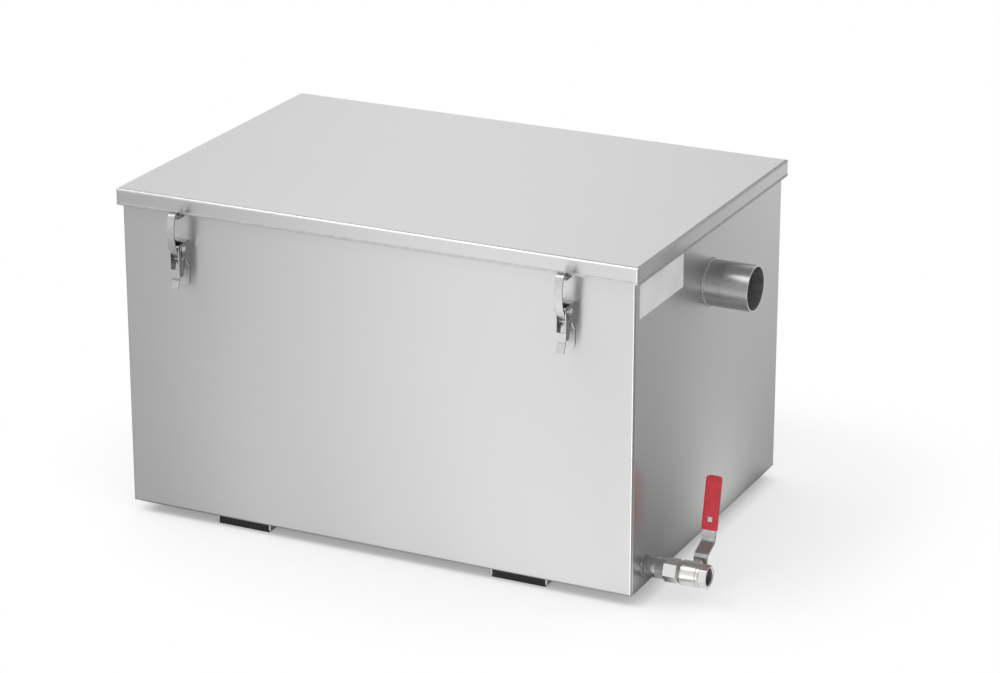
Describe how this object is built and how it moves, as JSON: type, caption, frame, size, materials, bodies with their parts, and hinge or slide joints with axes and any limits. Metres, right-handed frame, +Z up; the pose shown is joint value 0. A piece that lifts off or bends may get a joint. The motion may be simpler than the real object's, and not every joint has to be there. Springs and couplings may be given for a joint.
{
  "type": "oil separator",
  "caption": "Stainless under-sink oil separator: a box tank with a lift-off cap lid, draw latches, round pipe stubs and a small ball valve to drain it.",
  "frame": {"origin": "middle of the whole length and depth, pipes and valve included, on the ground under the rubber feet", "axes": "+X along the tank towards the outlet and the drain valve, +Y from the front to the back, +Z up"},
  "size_m": [0.722, 0.4506, 0.374],
  "materials": {
    "tank_steel": "brushed stainless sheet, grain along the walls",
    "lid_steel": "brushed stainless sheet, grain along the length",
    "foot_steel": "plain stainless channel with cut edges",
    "foot_rubber": "black rubber, matt",
    "pipe_steel": "drawn stainless tube with weld beads",
    "inner_steel": "plain stainless sheet",
    "basket_steel": "slotted stainless sheet and rod",
    "valve_metal": "nickel plated, cast body with machined rings",
    "seat_plastic": "white sealing plastic",
    "stem_steel": "turned steel",
    "lever_steel": "pressed steel strip, zinc plated",
    "sleeve_plastic": "red dipped plastic sleeve",
    "latch_steel": "pressed stainless sheet",
    "pin_steel": "riveted steel pin",
    "gasket_rubber": "soft black sealing rubber"
  },
  "bodies": {
    "tank": {"tank_shell": "tank_steel", "end_wall_left": "tank_steel", "end_wall_right": "tank_steel", "tank_rim": "tank_steel", "foot_channel_left": "foot_steel", "foot_channel_right": "foot_steel", "foot_pad_left": "foot_rubber", "foot_pad_right": "foot_rubber", "inlet_pipe": "pipe_steel", "outlet_pipe": "pipe_steel", "inlet_partition": "inner_steel", "outlet_partition": "inner_steel", "basket_rail_left": "inner_steel", "basket_rail_right": "inner_steel", "basket": "basket_steel", "basket_handle": "basket_steel", "drain_nipple": "pipe_steel", "valve_body": "valve_metal", "valve_end": "valve_metal", "valve_seats": "seat_plastic", "gland_nut": "valve_metal", "gland_packing": "seat_plastic", "latch_base_1": "latch_steel", "latch_base_2": "latch_steel", "latch_base_3": "latch_steel", "latch_base_4": "latch_steel", "latch_pin_1": "pin_steel", "latch_pin_2": "pin_steel", "latch_pin_3": "pin_steel", "latch_pin_4": "pin_steel"},
    "valve_handle": {"valve_ball": "valve_metal", "valve_stem": "stem_steel", "valve_lever": "lever_steel", "lever_sleeve": "sleeve_plastic", "lever_nut": "stem_steel"},
    "lid": {"lid_cover": "lid_steel", "lid_gasket": "gasket_rubber", "keeper_1": "latch_steel", "keeper_2": "latch_steel", "keeper_3": "latch_steel", "keeper_4": "latch_steel"},
    "latch_1": {"latch_lever_1": "latch_steel", "claw_pin_1": "pin_steel"},
    "claw_1": {"latch_claw_1": "latch_steel"},
    "latch_2": {"latch_lever_2": "latch_steel", "claw_pin_2": "pin_steel"},
    "claw_2": {"latch_claw_2": "latch_steel"},
    "latch_3": {"latch_lever_3": "latch_steel", "claw_pin_3": "pin_steel"},
    "claw_3": {"latch_claw_3": "latch_steel"},
    "latch_4": {"latch_lever_4": "latch_steel", "claw_pin_4": "pin_steel"},
    "claw_4": {"latch_claw_4": "latch_steel"}
  },
  "joints": [
    {"name": "lid_lift", "type": "slide", "parent": "tank", "child": "lid", "axis": [0, 0, 1], "range_m": [0, 0.15]},
    {"name": "valve_turn", "type": "hinge", "parent": "tank", "child": "valve_handle", "pos_m": [0.339, -0.165, 0.035], "axis": [0, 1, 0], "range_deg": [0, 90]},
    {"name": "latch_1_open", "type": "hinge", "parent": "tank", "child": "latch_1", "pos_m": [-0.237, -0.213, 0.3205], "axis": [-1, 0, 0], "range_deg": [0, 110]},
    {"name": "claw_1_swing", "type": "hinge", "parent": "latch_1", "child": "claw_1", "pos_m": [-0.237, -0.21, 0.3085], "axis": [-1, 0, 0], "range_deg": [-93.5, 0]},
    {"name": "latch_2_open", "type": "hinge", "parent": "tank", "child": "latch_2", "pos_m": [0.215, -0.213, 0.3205], "axis": [-1, 0, 0], "range_deg": [0, 110]},
    {"name": "claw_2_swing", "type": "hinge", "parent": "latch_2", "child": "claw_2", "pos_m": [0.215, -0.21, 0.3085], "axis": [-1, 0, 0], "range_deg": [-93.5, 0]},
    {"name": "latch_3_open", "type": "hinge", "parent": "tank", "child": "latch_3", "pos_m": [0.215, 0.213, 0.3205], "axis": [1, 0, 0], "range_deg": [0, 110]},
    {"name": "claw_3_swing", "type": "hinge", "parent": "latch_3", "child": "claw_3", "pos_m": [0.215, 0.21, 0.3085], "axis": [1, 0, 0], "range_deg": [-93.5, 0]},
    {"name": "latch_4_open", "type": "hinge", "parent": "tank", "child": "latch_4", "pos_m": [-0.237, 0.213, 0.3205], "axis": [1, 0, 0], "range_deg": [0, 110]},
    {"name": "claw_4_swing", "type": "hinge", "parent": "latch_4", "child": "claw_4", "pos_m": [-0.237, 0.21, 0.3085], "axis": [1, 0, 0], "range_deg": [-93.5, 0]}
  ],
  "couplings": [
    {"joint": "claw_1_swing", "follows": "latch_1_open", "ratio": -0.85},
    {"joint": "claw_2_swing", "follows": "latch_2_open", "ratio": -0.85},
    {"joint": "claw_3_swing", "follows": "latch_3_open", "ratio": -0.85},
    {"joint": "claw_4_swing", "follows": "latch_4_open", "ratio": -0.85}
  ]
}
